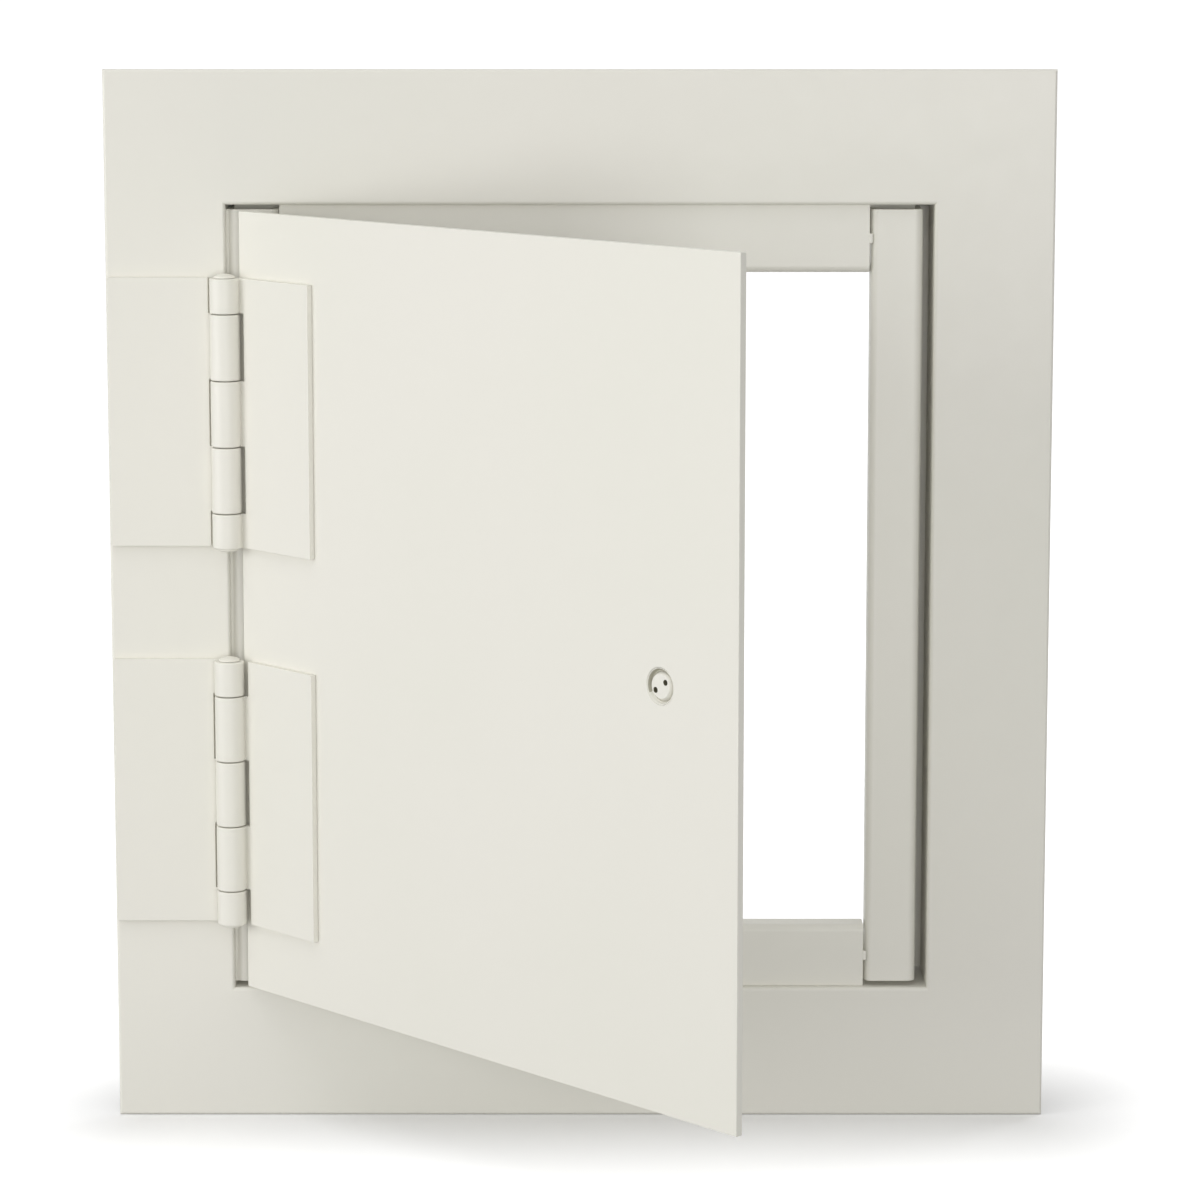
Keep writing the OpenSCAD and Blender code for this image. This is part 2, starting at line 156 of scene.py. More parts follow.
# %% [markdown]
# Hot-dip galvanised strap freezes into spangles, flat crystals almost a centimetre across that each turn the
# light another way. A Voronoi texture gives every crystal one random grey and one random gloss. A little
# noise bends the crystals' edges, and a fine grit roughens them.

# %% Galvanised steel
SPANGLE = 7 * MM
SPANGLE_BEND = 0.4 * SPANGLE
SPANGLE_SMOOTHEST, SPANGLE_DULLEST = 0.34, 0.56
GRIT, GRIT_HEIGHT = 0.7 * MM, 0.01 * MM


def galvanised_steel(name):
    """Zinc with spangles: cells of different grey and gloss, with a fine grit."""
    material = new_material(name)
    place = add_node(material, "ShaderNodeTexCoord").outputs["Object"]
    wander = add_node(material, "ShaderNodeTexNoise", {
        "Vector": place, "Scale": 1 / SPANGLE, "Detail": 3.0})
    bent = add_node(material, "ShaderNodeVectorMath", {
        0: wander.outputs["Color"], 1: (SPANGLE_BEND,) * 3, 2: place}, operation="MULTIPLY_ADD")
    cells = add_node(material, "ShaderNodeTexVoronoi", {
        "Vector": bent.outputs["Vector"], "Scale": 1 / SPANGLE})
    chance = add_node(material, "ShaderNodeSeparateColor", {"Color": cells.outputs["Color"]})
    colour = add_node(material, "ShaderNodeMix", {
        MIX_FACTOR: chance.outputs["Red"], MIX_A: linear("#A4A8AB"), MIX_B: linear("#C6C9CA")},
        data_type="RGBA")
    gloss = add_node(material, "ShaderNodeMapRange", {
        "Value": chance.outputs["Green"], "To Min": SPANGLE_SMOOTHEST, "To Max": SPANGLE_DULLEST})
    grit = add_node(material, "ShaderNodeTexNoise", {
        "Vector": place, "Scale": 1 / GRIT, "Detail": 2.0})
    bump = add_node(material, "ShaderNodeBump", {"Height": grit.outputs["Fac"], "Distance": GRIT_HEIGHT})
    shader = add_node(material, "ShaderNodeBsdfPrincipled", {
        "Base Color": colour.outputs[MIX_RESULT], "Metallic": 1.0, "Roughness": gloss.outputs["Result"],
        "Normal": bump.outputs["Normal"]})
    add_node(material, "ShaderNodeOutputMaterial", {"Surface": shader.outputs["BSDF"]})
    return material


galvanised = galvanised_steel("hot_dip_galvanised_steel")
print("galvanised:", galvanised.name)

# %% [markdown]
# The latch's small parts are turned or stamped steel with a thin bright zinc plate. Plating follows the tool
# marks under it, so the surface keeps fine streaks, and its passivation tints it from bluish to faintly
# yellow.

# %% Zinc plate
TINT_PATCH = 6 * MM
STREAK, STREAK_HEIGHT = 0.25 * MM, 0.004 * MM
STREAK_STRETCH = (1.0, 1.0, 0.08)
PLATE_SMOOTHEST, PLATE_DULLEST = 0.22, 0.42


def zinc_plate(name):
    """Bright zinc plate: streaks from the tool, and a drifting blue to yellow tint."""
    material = new_material(name)
    place = add_node(material, "ShaderNodeTexCoord").outputs["Object"]
    patches = add_node(material, "ShaderNodeTexNoise", {
        "Vector": place, "Scale": 1 / TINT_PATCH, "Detail": 3.0})
    colour = add_node(material, "ShaderNodeMix", {
        MIX_FACTOR: patches.outputs["Fac"], MIX_A: linear("#B7BEC6"), MIX_B: linear("#CFC9B6")},
        data_type="RGBA")
    along = add_node(material, "ShaderNodeMapping", {"Vector": place, "Scale": STREAK_STRETCH})
    streaks = add_node(material, "ShaderNodeTexNoise", {
        "Vector": along.outputs["Vector"], "Scale": 1 / STREAK, "Detail": 2.0})
    gloss = add_node(material, "ShaderNodeMapRange", {
        "Value": streaks.outputs["Fac"], "To Min": PLATE_SMOOTHEST, "To Max": PLATE_DULLEST})
    bump = add_node(material, "ShaderNodeBump", {
        "Height": streaks.outputs["Fac"], "Distance": STREAK_HEIGHT})
    shader = add_node(material, "ShaderNodeBsdfPrincipled", {
        "Base Color": colour.outputs[MIX_RESULT], "Metallic": 1.0, "Roughness": gloss.outputs["Result"],
        "Normal": bump.outputs["Normal"]})
    add_node(material, "ShaderNodeOutputMaterial", {"Surface": shader.outputs["BSDF"]})
    return material


zinc = zinc_plate("bright_zinc_plate")
print("zinc:", zinc.name)

# %% [markdown]
# Every CAD node keeps its solid and takes the finish of its material slot in the record. The slot's name says
# what the piece is made of, so one table links those names to the materials above.

# %% Finishes for the CAD nodes
finishes = {
    "painted_steel": paint, "lock_steel": paint, "galvanised_steel": galvanised, "zinc_plated_steel": zinc}
record = frame["record"]
slot_of = {part["node"]: part["material_slot"] for part in record["subparts"]}
body_of = {node: body for body, nodes in record["behaviour"]["bodies"].items() for node in nodes}
for name, node in frame["nodes"].items():
    node.material_slots[0].material = finishes[slot_of[name]]
print("finished nodes:", len(slot_of))

# %% [markdown]
# A CAD edge is a perfect corner, and a real one never is: sheared plate has a small radius, and paint thins
# and rounds over it, so that edges catch a thread of light. A merged copy of a node gets a Bevel modifier on
# its sharp edges and then stands for the node. The copy starts as loose triangles, so its doubles are merged
# and its flat faces joined before the edges are rounded.

# %% Merged copies with rounded edges
SHARP = math.radians(35)
FLAT = math.radians(0.5)
SAME_PLACE = 0.001 * MM
FLATS_FIRST = 100


def select_only(*objects):
    """Selects these objects alone and makes the first one active."""
    bpy.ops.object.select_all(action="DESELECT")
    for chosen in objects:
        chosen.select_set(True)
    bpy.context.view_layer.objects.active = objects[0]


def apply_modifier(piece, kind, **settings):
    """Adds one modifier with these settings to the active piece and applies it."""
    modifier = piece.modifiers.new(kind.lower(), kind)
    for setting, value in settings.items():
        setattr(modifier, setting, value)
    bpy.ops.object.modifier_apply(modifier=modifier.name)


def round_edges(piece, radius):
    """Rounds the sharp edges of a piece and shades it smooth up to those edges."""
    select_only(piece)
    apply_modifier(
        piece, "BEVEL", width=radius, segments=2, limit_method="ANGLE", angle_limit=SHARP,
        use_clamp_overlap=False, miter_outer="MITER_ARC")
    bpy.ops.object.shade_smooth_by_angle(angle=SHARP)
    apply_modifier(piece, "WEIGHTED_NORMAL", keep_sharp=True, weight=FLATS_FIRST)


def merged_copy(node):
    """A copy of a CAD node as one closed mesh, which rides on the node's body and stands for it."""
    select_only(frame["nodes"][node])
    bpy.ops.object.duplicate()
    piece = bpy.context.object
    piece.name = node + "_finished"
    piece.parent = None
    del piece["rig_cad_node"]
    bpy.ops.object.mode_set(mode="EDIT")
    bpy.ops.mesh.select_all(action="SELECT")
    bpy.ops.mesh.remove_doubles(threshold=SAME_PLACE)
    bpy.ops.mesh.dissolve_limited(angle_limit=FLAT)
    bpy.ops.mesh.customdata_custom_splitnormals_clear()
    bpy.ops.object.mode_set(mode="OBJECT")
    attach(piece, body_of[node])
    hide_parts(node)
    return piece


print("edges count as sharp from", round(math.degrees(SHARP)), "degrees")

# %% [markdown]
# How round an edge is depends on how the piece was made. The door's edge is ground, strap and bar keep the
# radius of their rolling, bent sheet has the thin radius of a shear, and turned parts are hardly broken.

# %% Plates, stops, anchors and latch parts
edge_radius = {
    "door_plate": 0.5 * MM,
    "stop_top": 0.3 * MM, "stop_bottom": 0.3 * MM,
    "stop_hinge_side": 0.3 * MM, "stop_strike_side": 0.3 * MM,
    "anchor_hinge_upper": 0.4 * MM, "anchor_hinge_lower": 0.4 * MM,
    "anchor_strike_upper": 0.4 * MM, "anchor_strike_lower": 0.4 * MM,
    "corner_block_hinge_top": 0.4 * MM, "corner_block_hinge_bottom": 0.4 * MM,
    "corner_block_strike_top": 0.4 * MM, "corner_block_strike_bottom": 0.4 * MM,
    "strike_side_spacer": 0.4 * MM,
    "latch_cam": 0.3 * MM,
    "lock_housing": 0.12 * MM,
    "thrust_washer": 0.08 * MM,
    "cam_stop_pin": 0.25 * MM,
}
for name, radius in edge_radius.items():
    piece = merged_copy(name)
    round_edges(piece, radius)
    print(piece.name, "faces:", len(piece.data.polygons))

# %% [markdown]
# The hinges were painted after they were put together, so paint has run into the joints between the knuckles
# and rounded their rims far more than the leaves' edges. The rims are found by their place: both ends of such
# an edge lie at one height, on the barrel's radius around the hinge axis. They get a wide bevel of their own,
# and the rest of the leaf gets the same small rounding as the stops.

# %% Hinge leaves with soft knuckle rims
BARREL = 6.35 * MM
KNUCKLE_RIM = 0.6 * MM
LEAF_EDGE = 0.3 * MM
TOUCH = 0.02 * MM
joints = {joint["name"]: joint for joint in record["behaviour"]["joints"]}
hinge_axis = Vector(joints["door_swing"]["pos_m"])


def select_parts(piece, part, wanted):
    """Enters edit mode with just the wanted edges or faces selected, and counts them."""
    select_only(piece)
    bpy.ops.object.mode_set(mode="EDIT")
    bpy.ops.mesh.select_mode(type="EDGE" if part == "edges" else "FACE")
    bpy.ops.mesh.select_all(action="DESELECT")
    mesh = bmesh.from_edit_mesh(piece.data)
    chosen = [element for element in getattr(mesh, part) if wanted(element)]
    for element in chosen:
        element.select_set(True)
    bmesh.update_edit_mesh(piece.data)
    return len(chosen)


def on_barrel(vertex):
    """Whether a vertex lies on the hinge barrel's outside."""
    return abs((vertex.co - hinge_axis).xy.length - BARREL) < TOUCH


def is_rim(edge):
    """Whether an edge is part of a knuckle's rim."""
    low, high = edge.verts
    return abs(low.co.z - high.co.z) < TOUCH and on_barrel(low) and on_barrel(high)


for side in ("frame", "door"):
    for name in (f"upper_hinge_{side}_leaf", f"lower_hinge_{side}_leaf"):
        piece = merged_copy(name)
        rims = select_parts(piece, "edges", is_rim)
        bpy.ops.mesh.bevel(offset=KNUCKLE_RIM, segments=3, affect="EDGES", clamp_overlap=False)
        bpy.ops.object.mode_set(mode="OBJECT")
        round_edges(piece, LEAF_EDGE)
        print(piece.name, "rim edges:", rims, "faces:", len(piece.data.polygons))

# %% [markdown]
# The frame is welded from bent plate, and on the back the beads were left as they were. A bead is a row of
# frozen puddles, each overlapping the one before it. One puddle is a flattened sphere, an Array modifier lays
# the row, and a voxel Remesh melts it into one closed skin. A Displace modifier with a cloud texture makes no
# two beads alike.

# %% A weld bead
PUDDLE_STEP = 1.7 * MM
PUDDLE_LENGTH = 0.8
BEAD = 1.8 * MM
BEAD_VOXEL = 0.42 * MM
BEAD_UNEVEN = 0.5 * MM
uneven = bpy.data.textures.new("bead_unevenness", "CLOUDS")
uneven.noise_scale = 3 * MM


def make_uneven(piece, strength):
    """Moves the skin of the active piece in and out, by half of the strength at most."""
    apply_modifier(
        piece, "DISPLACE", texture=uneven, texture_coords="GLOBAL", strength=strength, mid_level=0.5)


def weld_bead(start, end, radius, step=PUDDLE_STEP, voxel=BEAD_VOXEL, unevenness=BEAD_UNEVEN):
    """A weld bead between two points, as one closed skin."""
    run = Vector(end) - Vector(start)
    bpy.ops.object.select_all(action="DESELECT")
    bpy.ops.mesh.primitive_uv_sphere_add(segments=16, ring_count=10, radius=radius)
    bead = bpy.context.object
    bpy.ops.object.mode_set(mode="EDIT")
    bpy.ops.transform.resize(value=(PUDDLE_LENGTH, 1, 1))
    bpy.ops.object.mode_set(mode="OBJECT")
    puddles = max(2, round(run.length / step) + 1)
    apply_modifier(
        bead, "ARRAY", use_relative_offset=False, use_constant_offset=True, count=puddles,
        constant_offset_displace=(run.length / (puddles - 1), 0, 0))
    apply_modifier(bead, "REMESH", mode="VOXEL", voxel_size=voxel, use_smooth_shade=True)
    bead.rotation_euler = run.to_track_quat("X", "Z").to_euler()
    bead.location = start
    bpy.ops.object.transform_apply(location=True, rotation=True, scale=True)
    make_uneven(bead, unevenness)
    return bead


def weld_group(name, body, runs, radius, **finish):
    """Beads along several runs, joined to one painted piece that rides on a body."""
    beads = [weld_bead(start, end, radius, **finish) for start, end in runs]
    select_only(*beads)
    bpy.ops.object.join()
    group = bpy.context.object
    group.name = name
    group.data.materials.append(paint)
    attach(group, body)
    print(name, "beads:", len(beads), "faces:", len(group.data.polygons))
    return group


print("a puddle every", round(PUDDLE_STEP / MM, 1), "mm")

# %% [markdown]
# On the outside of the frame's legs, beads run back along both edges of each strap anchor. Where two legs
# meet at a corner, the open joint between them is filled by a bead over almost the whole depth.

# %% Weld beads on the frame's back
SIDES = (-1, 1)
# The places of all welds on the frame are in millimetres.
LEG_X, LEG_Z = 153, 173
SEAT = 0.5
ANCHOR_MIDDLES, ANCHOR_HALF = (-110, 110), 15
ANCHOR_WELD_DEPTHS = (13, 39)
CORNER_WELD_DEPTHS = (3, 44)


def in_mm(x, y, z):
    """A point given in millimetres, in metres."""
    return Vector((x, y, z)) * MM


anchor_edges = [middle + side * (ANCHOR_HALF + SEAT) for middle in ANCHOR_MIDDLES for side in SIDES]
anchor_runs = [
    [in_mm(side * (LEG_X + SEAT), depth, edge) for depth in ANCHOR_WELD_DEPTHS]
    for side in SIDES for edge in anchor_edges]
weld_group("anchor_weld_beads", "frame", anchor_runs, BEAD)
corner_runs = [
    [in_mm(side * (LEG_X - SEAT), depth, end * (LEG_Z - SEAT)) for depth in CORNER_WELD_DEPTHS]
    for side in SIDES for end in SIDES]
weld_group("leg_corner_weld_beads", "frame", corner_runs, BEAD)

# %% [markdown]
# Inside the frame the stops are held by short stitches of weld: along the frame's legs, behind the spacer bar
# and around the corner blocks. They sit in the inside corners, where a welder's torch reaches them from the
# back.

# %% Stitch welds behind the stops
STITCH_ENDS = (-12.5, 12.5)
SIDE_STITCHES, END_STITCHES = (-110, 0, 110), (-80, 0, 80)
INNER_X, INNER_Z = 150, 170
HINGE_STOP_BACK, END_STOP_BACK = 38.3, 2.8
SPACER_X, SPACER_BACK, SPACER_BEAD = 147.75, 35.8, 2.4 * MM
BLOCK_BACK = 30.3
BLOCK_SPANS = ((-144, -123.5), (119, 139.5))
BLOCK_LEGS = (-147.5 + SEAT, 143 - SEAT)
BLOCK_SIDE_WELD = (157, 167)


def side_stitches(x, depth):
    """Upright runs of weld beside a stop."""
    return [[in_mm(x, depth, middle + reach) for reach in STITCH_ENDS] for middle in SIDE_STITCHES]


hinge_runs = side_stitches(-INNER_X + SEAT, HINGE_STOP_BACK + SEAT)
weld_group("hinge_stop_weld_stitches", "frame", hinge_runs, BEAD)
weld_group("spacer_weld_stitches", "frame", side_stitches(SPACER_X, SPACER_BACK), SPACER_BEAD)
end_runs = [
    [in_mm(middle + reach, END_STOP_BACK + SEAT, end * (INNER_Z - SEAT)) for reach in STITCH_ENDS]
    for end in SIDES for middle in END_STITCHES]
weld_group("end_stop_weld_stitches", "frame", end_runs, BEAD)
block_runs = []
for end in SIDES:
    for span, leg in zip(BLOCK_SPANS, BLOCK_LEGS):
        block_runs.append([in_mm(x, BLOCK_BACK + SEAT, end * (INNER_Z - SEAT)) for x in span])
        block_runs.append([in_mm(leg, BLOCK_BACK + SEAT, end * z) for z in BLOCK_SIDE_WELD])
weld_group("corner_block_weld_beads", "frame", block_runs, BEAD)

# %% [markdown]
# The bent edge of the hinge stop leaves a narrow groove along the frame's leg. Filler and paint close most of
# it, so that in front only a shallow line is left. The filler is one bar as long as the stop, and just its
# front shows. That was wiped by hand: it is a little hollow, and uneven along its length.

# %% Filled joint beside the hinge stop
FILLER_WIDTH, FILLER_DEPTH = 1.8 * MM, 2 * MM
FILLER_X, FILLER_Y = -149.4 * MM, 2.1 * MM
LONG_EDGE = 10 * FILLER_WIDTH
SQUARE_ON = 0.9
WIPED_EDGE, WIPED_HOLLOW, WIPED_UNEVEN = 0.3 * MM, 0.25 * MM, 0.3 * MM
WIPED_CUTS = 100
stop_heights = [v.co.z for v in frame["nodes"]["stop_hinge_side"].data.vertices]
bpy.ops.object.select_all(action="DESELECT")
bpy.ops.mesh.primitive_cube_add(size=1)
filler = bpy.context.object
filler.name = "hinge_stop_joint_filler"
filler.scale = (FILLER_WIDTH, FILLER_DEPTH, max(stop_heights) - min(stop_heights))
filler.location = (FILLER_X, FILLER_Y, (max(stop_heights) + min(stop_heights)) / 2)
bpy.ops.object.transform_apply(location=True, rotation=True, scale=True)
select_parts(filler, "faces", lambda face: face.normal.y < -SQUARE_ON)
bpy.ops.mesh.inset(thickness=WIPED_EDGE)
bpy.ops.transform.translate(value=(0, WIPED_HOLLOW, 0))
bpy.ops.object.mode_set(mode="OBJECT")
select_parts(filler, "edges", lambda edge: edge.calc_length() > LONG_EDGE)
bpy.ops.mesh.subdivide(number_cuts=WIPED_CUTS)
bpy.ops.object.mode_set(mode="OBJECT")
make_uneven(filler, WIPED_UNEVEN)
bpy.ops.object.shade_smooth_by_angle(angle=SHARP)
filler.data.materials.append(paint)
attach(filler, "frame")
print("filler faces:", len(filler.data.polygons))

# %% [markdown]
# In front, four small tack welds close the joints of the stop ring and show through the paint as little
# blisters. The closed door passes three tenths of a millimetre in front of the stops, so the blisters are
# pressed almost flat.

# %% Tack welds in the stop ring
TACK_X, TACK_Z = (-127.65, 123.15), (155.5, -156.5)
TACK_DEPTH, TACK_ENDS = 0.55, (-1.3, 1.3)
TACK_BEAD, TACK_FLATNESS = 1.1 * MM, 0.42
tack_finish = {"step": 0.6 * MM, "voxel": 0.14 * MM, "unevenness": 0.3 * MM}
tack_runs = [[in_mm(x, TACK_DEPTH, z + reach) for reach in TACK_ENDS] for x in TACK_X for z in TACK_Z]
tacks = weld_group("stop_tack_weld_blisters", "frame", tack_runs, TACK_BEAD, **tack_finish)
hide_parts("stop_tack_welds")
select_only(tacks)
bpy.ops.object.mode_set(mode="EDIT")
bpy.ops.mesh.select_all(action="SELECT")
bpy.ops.transform.resize(value=(1, TACK_FLATNESS, 1), center_override=in_mm(0, TACK_DEPTH, 0))
bpy.ops.object.mode_set(mode="OBJECT")
print("tack welds reach y =", round(min(v.co.y for v in tacks.data.vertices) / MM, 2), "mm")

# %% [markdown]
# The lock's spindle is turned from bar. The bare end past the nut shows its thread: the end face is moved
# back to the nut, and then extruded out again in steps that alternate between crest and root.

# %% Lock spindle
lock_place = Vector(joints["latch_turn"]["pos_m"])
lock_axis = Vector(joints["latch_turn"]["axis"])
THREAD_START = 25.2 * MM
ROOT = 0.86
SPINDLE_EDGE = 0.12 * MM
# Each step of the thread: how far out in millimetres, and the scale of the end face.
thread_steps = (
    (0.25, ROOT), (0.1, 1), (0.25, 1 / ROOT), (0.1, 1), (0.25, ROOT), (0.1, 1), (0.2, 1.1), (0.15, ROOT))


def lock_depth(point):
    """How far a point lies behind the door's face, along the lock's axis."""
    return (point - lock_place).dot(lock_axis)


def on_lock_axis(depth):
    """The point of the lock's axis at this depth."""
    return lock_place + lock_axis * depth


spindle = merged_copy("lock_spindle")
end_depth = max(lock_depth(v.co) for v in spindle.data.vertices)
select_parts(spindle, "faces", lambda face: lock_depth(face.calc_center_median()) > end_depth - TOUCH)
bpy.ops.transform.translate(value=lock_axis * (THREAD_START - end_depth))
reach = THREAD_START
for advance, scale in thread_steps:
    reach += advance * MM
    bpy.ops.mesh.extrude_region_move(TRANSFORM_OT_translate={"value": lock_axis * advance * MM})
    bpy.ops.transform.resize(value=(scale,) * 3, center_override=on_lock_axis(reach))
bpy.ops.object.mode_set(mode="OBJECT")
round_edges(spindle, SPINDLE_EDGE)
print("spindle thread ends at", round(reach / MM, 2), "mm behind the door's face")

# %% [markdown]
# In the two spanner holes the spanner's pins have scraped the steel bare. Its colour is painted dark as well,
# as painted shade for the depth of the holes. This finish is only a little metallic, and one noise texture
# with sub-millimetre stains sets both its tone and its gloss.

# %% Bare steel with painted shade
STAIN = 0.8 * MM
STAIN_SMOOTHEST, STAIN_DULLEST = 0.45, 0.7


def bare_steel(name):
    """Bare steel, painted dark as the shade in a deep hole: dull patches and a brownish drift."""
    material = new_material(name)
    place = add_node(material, "ShaderNodeTexCoord").outputs["Object"]
    stains = add_node(material, "ShaderNodeTexNoise", {
        "Vector": place, "Scale": 1 / STAIN, "Detail": 3.0})
    # Both tones are dark on purpose: painted shade for the depth of the spanner holes, on bare steel.
    colour = add_node(material, "ShaderNodeMix", {
        MIX_FACTOR: stains.outputs["Fac"], MIX_A: linear("#5E5B4A"), MIX_B: linear("#78745E")},
        data_type="RGBA")
    gloss = add_node(material, "ShaderNodeMapRange", {
        "Value": stains.outputs["Fac"], "To Min": STAIN_SMOOTHEST, "To Max": STAIN_DULLEST})
    shader = add_node(material, "ShaderNodeBsdfPrincipled", {
        "Base Color": colour.outputs[MIX_RESULT], "Metallic": 0.2, "Roughness": gloss.outputs["Result"]})
    add_node(material, "ShaderNodeOutputMaterial", {"Surface": shader.outputs["BSDF"]})
    return material


shaded_bare_steel = bare_steel("greasy_bare_steel")
print("greasy:", shaded_bare_steel.name)

# %% [markdown]
# The spindle takes three finishes. Faces near the front keep the door's paint, faces further back are zinc
# plated, and the spanner holes are bare steel painted dark as shade. Each set of faces is picked by its place
# along the lock's axis or around a hole, and assigned to its own material slot. The dish around the head
# belongs to the housing. Its paint is the same, but along the upper left a darker paint is painted shade
# there.

# %% Finishes of the spindle and the dish
PAINTED_DEPTH = 4 * MM
FACE_DEPTH = 0.3 * MM
HOLE_OUT, HOLE_RADIUS = 3.2 * MM, 1.15 * MM
HOLE_SLOPE = math.radians(33)
DISH_END, DISH_RADIUS = 2.2 * MM, 7 * MM
# The arc of the dish's wall, on the upper left, that takes a darker paint as painted shade.
SHADED_ARC = math.radians(72)
up = Vector((0, 0, 1))
across = lock_axis.cross(up)


def assign_faces(piece, material, wanted):
    """Gives the wanted faces of a piece their own material, and counts them."""
    piece.data.materials.append(material)
    count = select_parts(piece, "faces", wanted)
    piece.active_material_index = len(piece.data.materials) - 1
    bpy.ops.object.material_slot_assign()
    bpy.ops.object.mode_set(mode="OBJECT")
    return count


def around_axis(face):
    """A face's depth behind the door's face, and its middle's place around the lock's axis."""
    centre = face.calc_center_median()
    depth = lock_depth(centre)
    return depth, centre - on_lock_axis(depth)


def is_plated(face):
    """Whether a face of the spindle lies behind the painted head."""
    return around_axis(face)[0] > PAINTED_DEPTH


def in_spanner_hole(face):
    """Whether a face belongs to one of the two spanner holes."""
    depth, place = around_axis(face)
    slope = across * math.cos(HOLE_SLOPE) + up * math.sin(HOLE_SLOPE)
    away = min((place - slope * HOLE_OUT * side).length for side in SIDES)
    return depth > FACE_DEPTH + SPINDLE_EDGE and away < HOLE_RADIUS + TOUCH


def in_shaded_dish_arc(face):
    """Whether a face belongs to the dish around the spindle's head, on its upper left, which takes painted
    shade.
    """
    depth, place = around_axis(face)
    dished = FACE_DEPTH + SPINDLE_EDGE < depth < DISH_END and place.length < DISH_RADIUS
    return dished and place.angle(up - across) < SHADED_ARC


plated = assign_faces(spindle, zinc, is_plated)
scraped = assign_faces(spindle, shaded_bare_steel, in_spanner_hole)
# Painted shade: a darker paint on the dish's upper-left wall stands in for the shade that falls there.
shade_paint = satin_paint("grimy_satin_paint_on_steel", "#B4B1A2", "#9C9988")
dish_shade_faces = assign_faces(bpy.data.objects["lock_housing_finished"], shade_paint, in_shaded_dish_arc)
print("faces in zinc:", plated, "in bare steel:", scraped, "grimy:", dish_shade_faces)

# %% [markdown]
# Under the nut sits a spring washer: a ring cut through at a slant, so that its two ends bite. A thin slab is
# turned to that slant and taken out of the ring with a Boolean.

# %% Spring washer
WASHER_DEPTH, WASHER_MIDDLE = 19.5 * MM, 3.9 * MM
WASHER_EDGE = 0.1 * MM
SPLIT_SIZE, SPLIT_SLANT = (0.7 * MM, 4 * MM, 4 * MM), math.radians(24)


def cut_with(piece, tool, operation):
    """Applies a Boolean to a piece and deletes the tool."""
    select_only(piece)
    apply_modifier(piece, "BOOLEAN", operation=operation, object=tool, solver="EXACT")
    bpy.data.objects.remove(tool, do_unlink=True)


washer = merged_copy("cam_lock_washer")
bpy.ops.object.select_all(action="DESELECT")
bpy.ops.mesh.primitive_cube_add(size=1, location=on_lock_axis(WASHER_DEPTH) + up * WASHER_MIDDLE)
slab = bpy.context.object
slab.scale = SPLIT_SIZE
slab.rotation_euler = (0, 0, math.atan2(lock_axis.y, lock_axis.x) - math.radians(90) + SPLIT_SLANT)
bpy.ops.object.transform_apply(location=True, rotation=True, scale=True)
cut_with(washer, slab, "DIFFERENCE")
round_edges(washer, WASHER_EDGE)
print("washer faces:", len(washer.data.polygons))

# %% [markdown]
# The nut's corners are cut back by a chamfer at both ends, as on any hexagon bar that was faced on a lathe.
# The hexagon is intersected with a turned blank, which is a cylinder whose two end faces are extruded and
# scaled down.

# %% Nut
NUT_DEPTH, NUT_LENGTH, NUT_EDGE = 22.6 * MM, 5 * MM, 0.08 * MM
NUT_CORNER, NUT_FACE, NUT_CHAMFER = 5.76 * MM, 4.9 * MM, 0.5 * MM
nut = merged_copy("cam_nut")
bpy.ops.object.select_all(action="DESELECT")
bpy.ops.mesh.primitive_cylinder_add(vertices=96, radius=NUT_CORNER, depth=NUT_LENGTH - 2 * NUT_CHAMFER)
blank = bpy.context.object
shrink = NUT_FACE / NUT_CORNER
for end in SIDES:
    select_parts(blank, "faces", lambda face: face.normal.z * end > SQUARE_ON)
    bpy.ops.mesh.extrude_region_move(TRANSFORM_OT_translate={"value": (0, 0, end * NUT_CHAMFER)})
    bpy.ops.transform.resize(value=(shrink, shrink, 1), center_override=(0, 0, end * NUT_LENGTH / 2))
    bpy.ops.object.mode_set(mode="OBJECT")
blank.rotation_euler = lock_axis.to_track_quat("Z", "Y").to_euler()
blank.location = on_lock_axis(NUT_DEPTH)
bpy.ops.object.transform_apply(location=True, rotation=True, scale=True)
cut_with(nut, blank, "INTERSECT")
round_edges(nut, NUT_EDGE)
print("nut faces:", len(nut.data.polygons))

# %% [markdown]
# The lock's housing is held to the back of the door by four tack welds around its flange. They ride on the
# door.

# %% Tack welds on the lock housing
HOUSING_FLANGE, DOOR_BACK = 13.4 * MM, 3.4 * MM
HOUSING_BEAD = 1.6 * MM
HOUSING_TACK_ANGLES, HOUSING_TACK_TURNS = (45, 135, 225, 315), (-9, 9)


def around_lock(degrees, radius, depth):
    """A point at an angle around the lock's axis."""
    angle = math.radians(degrees)
    return on_lock_axis(depth) + (across * math.cos(angle) + up * math.sin(angle)) * radius


housing_runs = [
    [around_lock(middle + turn, HOUSING_FLANGE, DOOR_BACK) for turn in HOUSING_TACK_TURNS]
    for middle in HOUSING_TACK_ANGLES]
weld_group("lock_housing_tack_welds", "door", housing_runs, HOUSING_BEAD)

# %% [markdown]
# The floor is a large white sheet. Seen by the camera it also glows, so that it reads as white paper all the
# way back, where the lamps don't reach. Close to the panel's foot the glow fades out, and there the paper
# shows the panel's shadow. Light that bounces onto the panel meets plain light grey paper.

# %% White floor
FLOOR_SIZE = 160
GLOW_NEAR, GLOW_FAR = 0.06, 0.62
GLOW_REACH = 95 * MM
FOOT = (190 * MM, 10 * MM, 0)


def seen_rays(owner):
    """One for rays that the eye follows, straight, mirrored or refracted, and zero for scattered light."""
    ray = add_node(owner, "ShaderNodeLightPath")
    seen = ray.outputs["Is Camera Ray"]
    for kind in ("Is Glossy Ray", "Is Transmission Ray"):
        both = add_node(owner, "ShaderNodeMath", {
            0: seen, 1: ray.outputs[kind]}, operation="ADD", use_clamp=True)
        seen = both.outputs["Value"]
    return seen


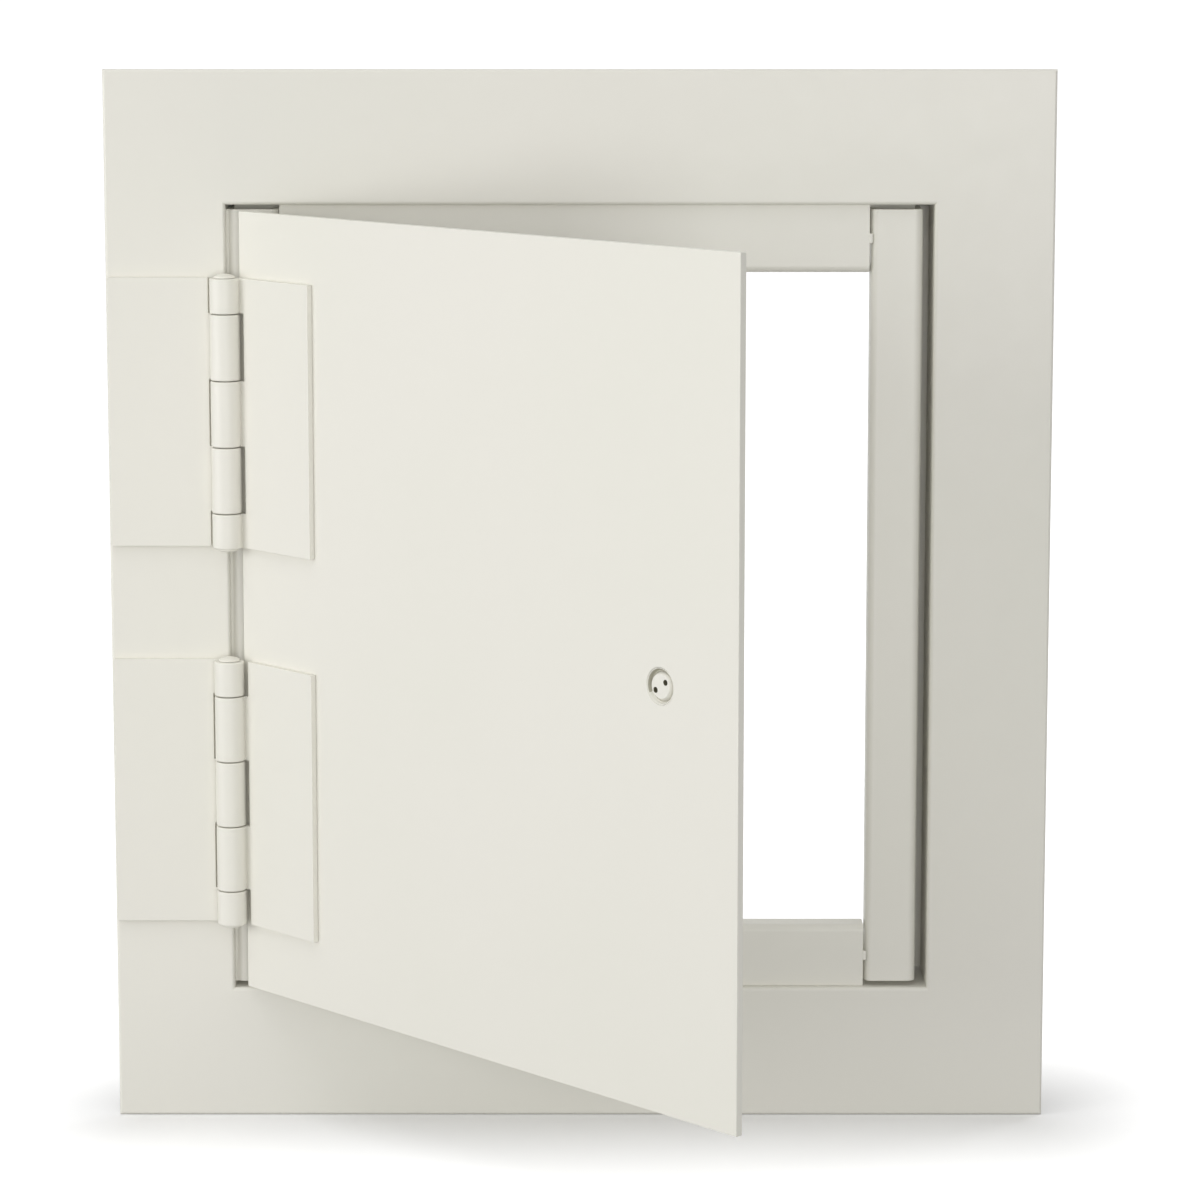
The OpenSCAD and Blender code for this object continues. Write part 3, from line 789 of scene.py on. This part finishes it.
bpy.ops.object.select_all(action="DESELECT")
bpy.ops.mesh.primitive_plane_add(size=FLOOR_SIZE, location=(0, 0, cad_box[0].z))
floor = bpy.context.object
floor.name = "floor"
paper = new_material("white_paper")
matt = add_node(paper, "ShaderNodeBsdfDiffuse", {"Color": linear("#B6B6B6")})
white = add_node(paper, "ShaderNodeBsdfDiffuse", {"Color": linear("#F4F4F4")})
spot = add_node(paper, "ShaderNodeTexCoord").outputs["Object"]
place = add_node(paper, "ShaderNodeVectorMath", {0: spot}, operation="ABSOLUTE")
past = add_node(paper, "ShaderNodeVectorMath", {0: place.outputs["Vector"], 1: FOOT}, operation="SUBTRACT")
beyond = add_node(paper, "ShaderNodeVectorMath", {
    0: past.outputs["Vector"], 1: (0, 0, 0)}, operation="MAXIMUM")
away = add_node(paper, "ShaderNodeVectorMath", {0: beyond.outputs["Vector"]}, operation="LENGTH")
strength = add_node(paper, "ShaderNodeMapRange", {
    "Value": away.outputs["Value"], "From Max": GLOW_REACH, "To Min": GLOW_NEAR, "To Max": GLOW_FAR})
glow = add_node(paper, "ShaderNodeEmission", {"Strength": strength.outputs["Result"]})
bright = add_node(paper, "ShaderNodeAddShader", {0: white.outputs["BSDF"], 1: glow.outputs["Emission"]})
sheet = add_node(paper, "ShaderNodeMixShader", {
    0: seen_rays(paper), 1: matt.outputs["BSDF"], 2: bright.outputs["Shader"]})
add_node(paper, "ShaderNodeOutputMaterial", {"Surface": sheet.outputs["Shader"]})
floor.data.materials.append(paper)
print("floor at", round(floor.location.z / MM, 1), "mm")

# %% [markdown]
# The light is a studio's. The surround is a long tent of white cloth: it is bright in front, behind and
# above, and open at the sides. A direction's squared coordinates add up to one, so three weights shade the
# tent. What the camera sees past the floor is plain white.

# %% Tent of white cloth
TENT = (0, 0.82, 0.62)
world = bpy.data.worlds.new("studio")
bpy.context.scene.world = world
world.use_nodes = True
world.node_tree.nodes.clear()
way = add_node(world, "ShaderNodeTexCoord").outputs["Generated"]
squares = add_node(world, "ShaderNodeVectorMath", {0: way, 1: way}, operation="MULTIPLY")
shade = add_node(world, "ShaderNodeVectorMath", {
    0: squares.outputs["Vector"], 1: TENT}, operation="DOT_PRODUCT")
cloth = add_node(world, "ShaderNodeBackground", {
    "Color": linear("#FFFFFF"), "Strength": shade.outputs["Value"]})
backdrop = add_node(world, "ShaderNodeBackground", {"Color": linear("#FFFFFF"), "Strength": 1.0})
sky = add_node(world, "ShaderNodeMixShader", {
    0: seen_rays(world), 1: cloth.outputs["Background"], 2: backdrop.outputs["Background"]})
add_node(world, "ShaderNodeOutputWorld", {"Surface": sky.outputs["Shader"]})
print("world:", world.name)

# %% [markdown]
# A large soft key lamp on the left reaches the door almost square on and the flange at a slant, so the door
# is the brightest part, and the door's free edge, which faces right, lies in shade. A lamp high on the left
# makes the upper half a little lighter than the lower one, a weak fill lamp stands in front, and another
# lights the back. All of them are turned towards the panel's middle.

# %% Lamps
def softbox(name, place, size, watts):
    """A square area lamp at a place and of a size in metres, turned towards the origin."""
    bpy.ops.object.light_add(type="AREA", location=place)
    lamp = bpy.context.object
    lamp.name = name
    lamp.data.shape = "SQUARE"
    lamp.data.size = size
    lamp.data.energy = watts
    lamp.rotation_euler = (-Vector(place)).to_track_quat("-Z", "Y").to_euler()


softbox("key", place=(-2.0, -1.0, 0.3), size=1.2, watts=20.5)
softbox("high_left", place=(-0.7, -0.6, 1.7), size=0.9, watts=5.6)
softbox("fill", place=(0.4, -2.2, 0.1), size=0.6, watts=9.2)
softbox("back", place=(1.8, 1.5, 0.7), size=1.0, watts=10)

# %% [markdown]
# The camera stands a little higher than the panel's top edge, 1.66 m in front of it, with a long lens. It
# looks down by eight degrees, and a small lens shift puts the panel in the middle of the frame again.

# %% Camera
CAMERA_PLACE = (9.3 * MM, -1657.2 * MM, 284.1 * MM)
LOOK_DOWN, LOOK_LEFT = 0.139, 0.0005
LENS, SHIFT = 117.5, -0.1
bpy.ops.object.camera_add(location=CAMERA_PLACE, rotation=(math.radians(90) - LOOK_DOWN, 0, LOOK_LEFT))
camera = bpy.context.object
camera.data.lens = LENS
camera.data.shift_y = SHIFT
bpy.context.scene.camera = camera
bpy.context.scene.view_settings.view_transform = "Standard"
print("camera lens:", camera.data.lens)
